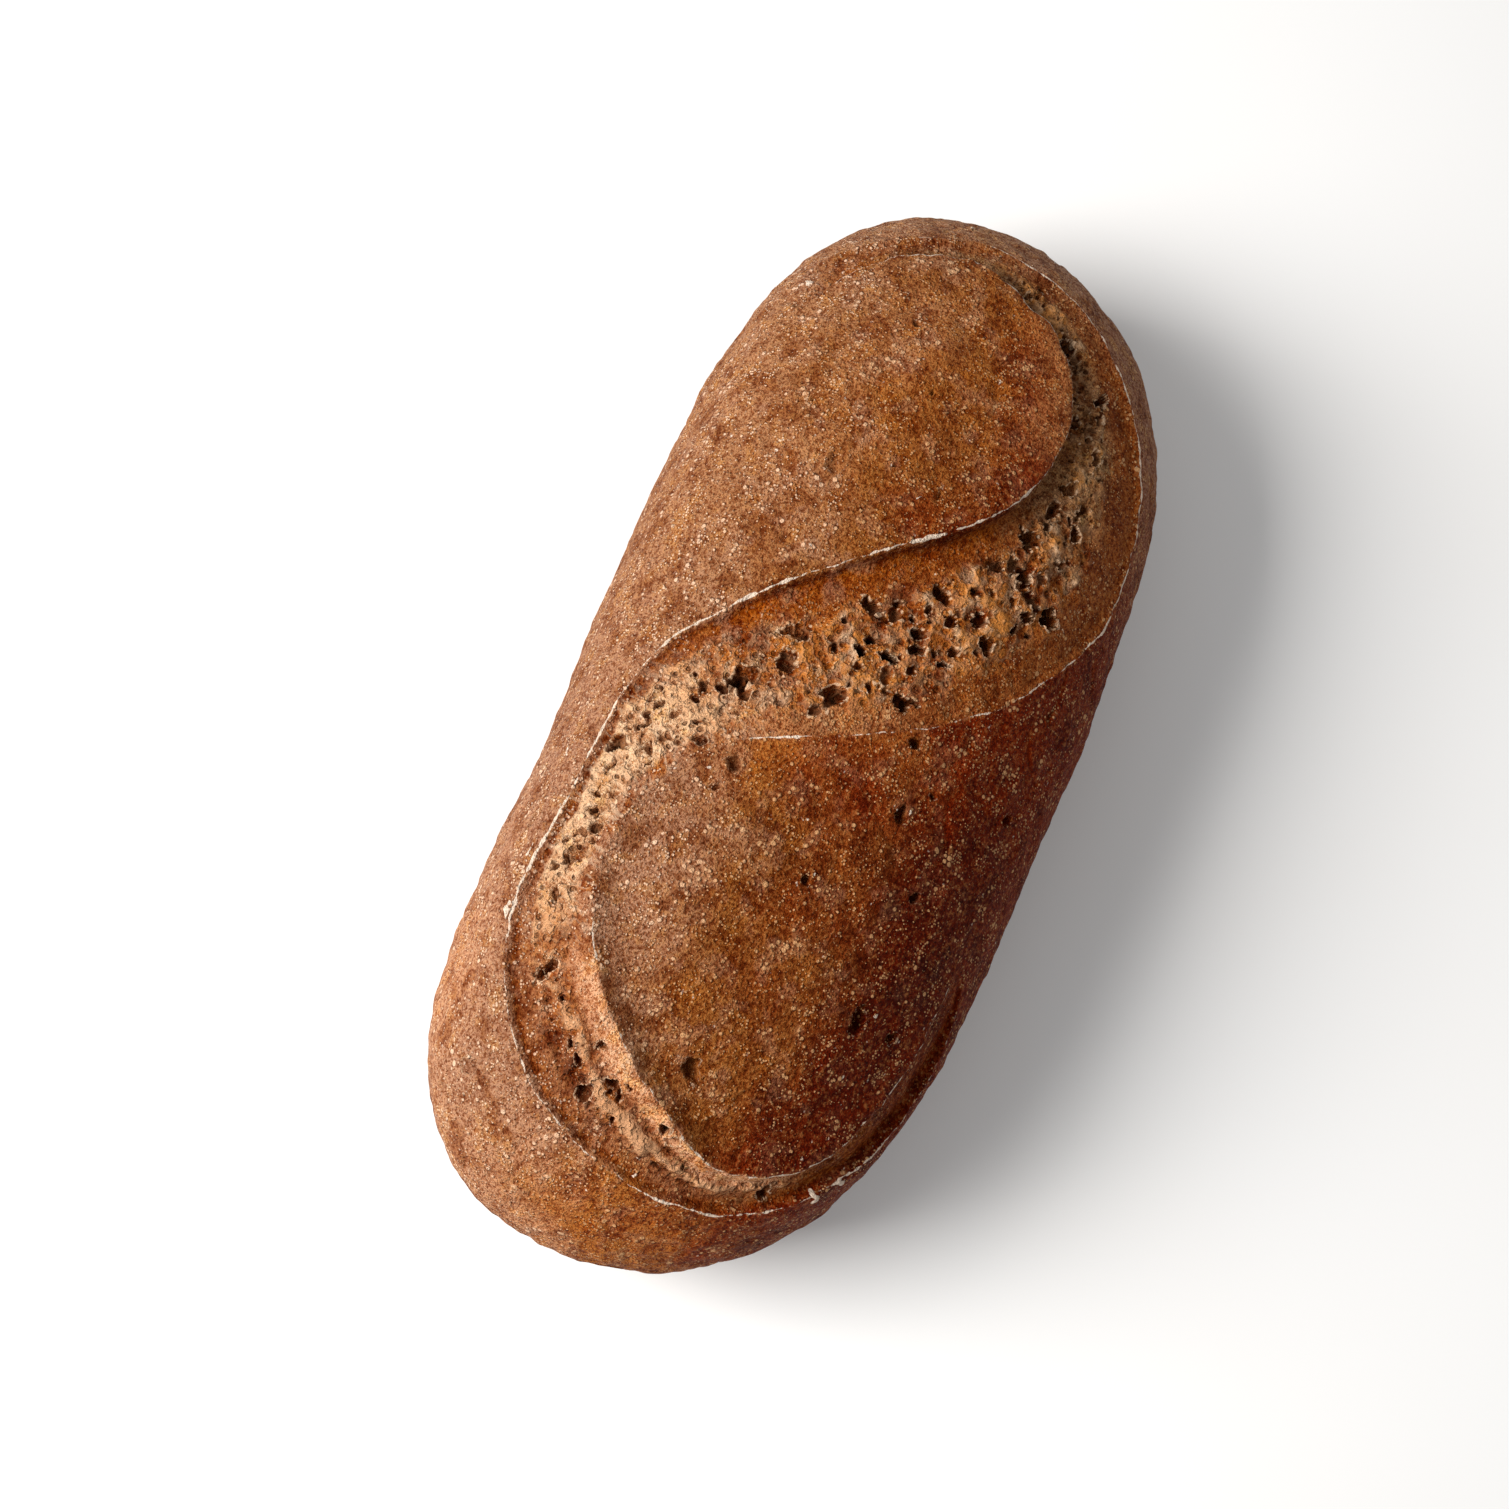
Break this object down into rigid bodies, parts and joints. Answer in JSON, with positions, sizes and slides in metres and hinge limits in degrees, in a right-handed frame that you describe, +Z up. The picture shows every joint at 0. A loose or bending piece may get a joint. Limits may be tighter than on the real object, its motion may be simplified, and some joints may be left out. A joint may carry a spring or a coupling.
{
  "type": "sourdough loaf",
  "caption": "Long hearth-baked wholegrain loaf with a flat base and one S-shaped score that hooks round both ends.",
  "frame": {"origin": "middle of the flat base, below the centre of the loaf's bounding box", "axes": "+X along the loaf towards the end where the raised lip of the cut lies inside its hook, +Y across it towards the side the ends curl to, +Z up"},
  "size_m": [0.28, 0.125, 0.084],
  "materials": {
    "crust": "matte"
  },
  "bodies": {
    "root": {"loaf": "crust"}
  },
  "joints": []
}
